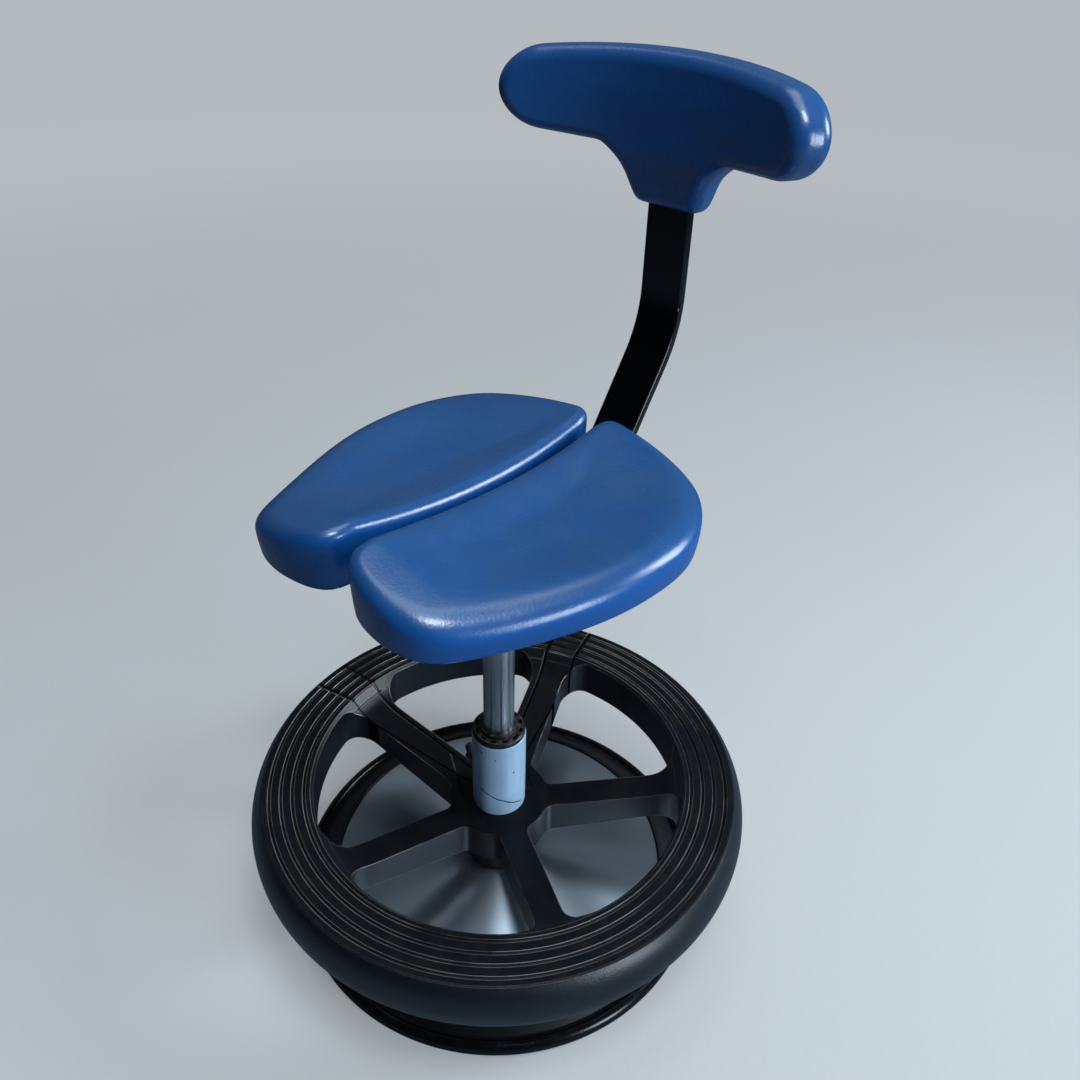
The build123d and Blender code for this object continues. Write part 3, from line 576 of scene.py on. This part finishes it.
# ---- back pad -----------------------------------------------------------------------------------
def wing_edge(along, edge):
    """A point of the wing's outline, a distance along its curve, on the top (edge 1) or bottom (-1)."""
    share = (along / wing_reach) ** 2
    top = blend(wing_top, share)
    bottom = blend(wing_bottom, share)
    past = max(0.0, along - (wing_reach - wing_end_reach)) / wing_end_reach
    half = (top - bottom) / 2 * math.sqrt(max(0.0, 1.0 - past ** 2))
    return (back_curve_radius * math.sin(along / back_curve_radius), (top + bottom) / 2 + edge * half)


def back_front_view():
    """The T's outline in x and height, counter-clockwise seen from the front."""
    straight = wing_reach - wing_end_reach
    turns = [math.sin(math.radians(angle)) for angle in range(0, 91, 10)]
    top = [wing_edge(straight * i / 6, 1) for i in range(6)]
    end = [wing_edge(straight + wing_end_reach * turn, 1) for turn in turns]
    end += [wing_edge(straight + wing_end_reach * turn, -1) for turn in turns[-2::-1]]
    under = [wing_edge(straight - (straight - wing_neck_join) * i / 3, -1) for i in (1, 2, 3)]
    right = np.array(top + end + under + list(neck_side))
    left = right[1:-1][::-1] * (-1.0, 1.0)
    loop = evenly_spaced(np.vstack([right, left])[::-1], 3 * back_points)
    return evenly_spaced(blurred(loop, outline_smoothing), back_points)


def back_surface(view, half_depth, side):
    """Points on the front (side -1) or rear (side 1) of the curved pad above a front-view outline."""
    x, height = view[:, 0], view[:, 1]
    neck = 1.0 - between(height, neck_heights)
    lean = x / back_curve_radius
    depth = half_depth * (1.0 - neck * (1.0 - neck_half_thickness / back_half_thickness))
    middle = back_middle_y + (neck_middle_y - back_middle_y) * neck
    upright = np.sqrt(1.0 - lean ** 2)
    arc = middle - back_curve_radius * (1.0 - upright)
    return np.column_stack([x + side * depth * lean, arc + side * depth * upright, height])


def make_back_pad():
    outline = back_front_view()
    inward = inward_normals(outline)
    middle = np.array([0.0, back_middle_height])
    reach = blend(back_edge_reach, between(np.abs(outline[:, 0]), back_end))
    front = []
    crest = outline + inward * reach[:, None]
    for share in np.linspace(face_share, 0.0, back_face_rows)[:-1]:
        plan = crest + (middle - crest) * share
        front.append((plan, back_half_thickness + back_crown * smooth_step(share * back_crown_spread)))
    for step in range(back_edge_steps, -1, -1):
        t = 1 - math.cos(math.radians(90.0 * step / back_edge_steps))
        plan = outline + inward * (reach * t)[:, None]
        front.append((plan, back_half_thickness - back_edge_drop * quarter_round(t)))
    rings = [back_surface(plan, depth, -1) for plan, depth in front]
    rings += [back_surface(plan, depth, 1) for plan, depth in front[::-1]]
    piece = mesh_from_rings("moulded_back_pad", rings, finishes["pad_foam"])
    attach(piece, "back_rest")
    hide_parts("back_pad")


# ---- stage --------------------------------------------------------------------------------------
def pale_floor():
    """Pale stone that looks brighter than the light it throws back, so the chair's sides stay dark."""
    stone = Shader("pale_floor")
    seen = stone.add("ShaderNodeLightPath").outputs["Is Camera Ray"]
    cloud = stone.mix(stone.noise(1.3, 6.0, 0.6), (0.31, 0.32, 0.325), (0.36, 0.37, 0.375))
    near = stone.mix(stone.band(stone.radius(), 1.2, 4.5), cloud, (0.0, 0.0, 0.0))
    colour = stone.mix(seen, (0.17, 0.21, 0.26), near)
    glow = stone.calc("MULTIPLY", seen, stone.band(stone.radius(), 0.6, 3.5, floor_glow, room_glow))
    grain = stone.bump(stone.noise(90.0, 5.0), 0.0004)
    return stone.finish(Base_Color=colour, Roughness=0.8, Normal=grain, Specular_IOR_Level=0.0,
                        Emission_Color=room_tint, Emission_Strength=glow)


def make_floor():
    half = floor_size / 2
    data = bpy.data.meshes.new("floor")
    corners = [(-half, -half, 0.0), (half, -half, 0.0), (half, half, 0.0), (-half, half, 0.0)]
    data.from_pydata(corners, [], [(0, 1, 2, 3)])
    data.materials.append(pale_floor())
    floor = bpy.data.objects.new("floor", data)
    bpy.context.scene.collection.objects.link(floor)


def add_softbox(name, place, target, size, power, colour):
    light = bpy.data.lights.new(name, "AREA")
    light.shape = "RECTANGLE"
    light.size, light.size_y = size
    light.energy = power
    light.color = colour
    lamp = bpy.data.objects.new(name, light)
    lamp.visible_camera = False
    turn = (Vector(target) - Vector(place)).to_track_quat("-Z", "Y").to_matrix().to_4x4()
    lamp.matrix_world = Matrix.Translation(place) @ turn
    bpy.context.scene.collection.objects.link(lamp)


def make_lights():
    seat = (0.0, 0.0, 0.42)
    add_softbox("window", (1.30, 1.40, 1.30), seat, (0.50, 0.80), 26.0, (0.80, 0.93, 1.0))
    add_softbox("side_window", (1.95, 0.06, 0.85), seat, (0.50, 0.95), 23.0, (0.74, 0.90, 1.0))
    add_softbox("ceiling_front", (0.68, -0.32, 2.35), seat, (0.6, 0.6), 24.0, (0.86, 0.95, 1.0))
    add_softbox("ceiling_rear", (-0.25, 0.30, 2.4), seat, (1.1, 1.4), 12.0, (0.84, 0.94, 1.0))
    bpy.context.scene.world = make_room()


def make_room():
    """Dim surroundings, paler behind the chair, that look as pale as the floor to the camera."""
    world = bpy.data.worlds.new("room")
    world.use_nodes = True
    nodes, links = world.node_tree.nodes, world.node_tree.links
    direction = nodes.new("ShaderNodeTexCoord").outputs["Generated"]
    along = nodes.new("ShaderNodeVectorMath")
    along.operation = "DOT_PRODUCT"
    along.inputs[1].default_value = (-0.61, 0.71, 0.35)
    links.new(direction, along.inputs[0])
    fade = nodes.new("ShaderNodeMapRange")
    fade.interpolation_type = "SMOOTHSTEP"
    for key, value in (("From Min", 0.1), ("From Max", 1.0), ("To Min", 0.012), ("To Max", 0.11)):
        fade.inputs[key].default_value = value
    links.new(along.outputs["Value"], fade.inputs["Value"])
    sky = nodes["Background"]
    sky.inputs["Color"].default_value = (0.80, 0.91, 1.0, 1.0)
    links.new(fade.outputs["Result"], sky.inputs["Strength"])
    backdrop = nodes.new("ShaderNodeBackground")
    backdrop.inputs["Color"].default_value = paint(room_tint)
    backdrop.inputs["Strength"].default_value = room_glow
    seen = nodes.new("ShaderNodeLightPath").outputs["Is Camera Ray"]
    choice = nodes.new("ShaderNodeMixShader")
    for socket, source in enumerate((seen, sky.outputs[0], backdrop.outputs[0])):
        links.new(source, choice.inputs[socket])
    links.new(choice.outputs[0], nodes["World Output"].inputs["Surface"])
    return world


def make_camera():
    heading, drop, roll = (math.radians(a) for a in (camera_heading, camera_drop, camera_roll))
    ahead = Vector((math.cos(heading), math.sin(heading), 0.0))
    forward = ahead * math.cos(drop) - Vector((0.0, 0.0, math.sin(drop)))
    level = Vector((math.sin(heading), -math.cos(heading), 0.0))
    right = level * math.cos(roll) + level.cross(forward) * math.sin(roll)
    up = right.cross(forward)
    turn = Matrix((right, up, -forward)).transposed().to_4x4()
    data = bpy.data.cameras.new("camera")
    data.lens = camera_lens
    data.sensor_width = 36.0
    data.shift_x = camera_shift
    data.clip_start = 0.01
    camera = bpy.data.objects.new("camera", data)
    camera.matrix_world = Matrix.Translation(camera_place) @ turn
    bpy.context.scene.collection.objects.link(camera)
    bpy.context.scene.camera = camera


dress_frame()
make_seat_pad("seat_pad_left", 1)
make_seat_pad("seat_pad_right", -1)
make_back_pad()
make_floor()
make_lights()
make_camera()
bpy.context.scene.view_settings.view_transform = "Standard"
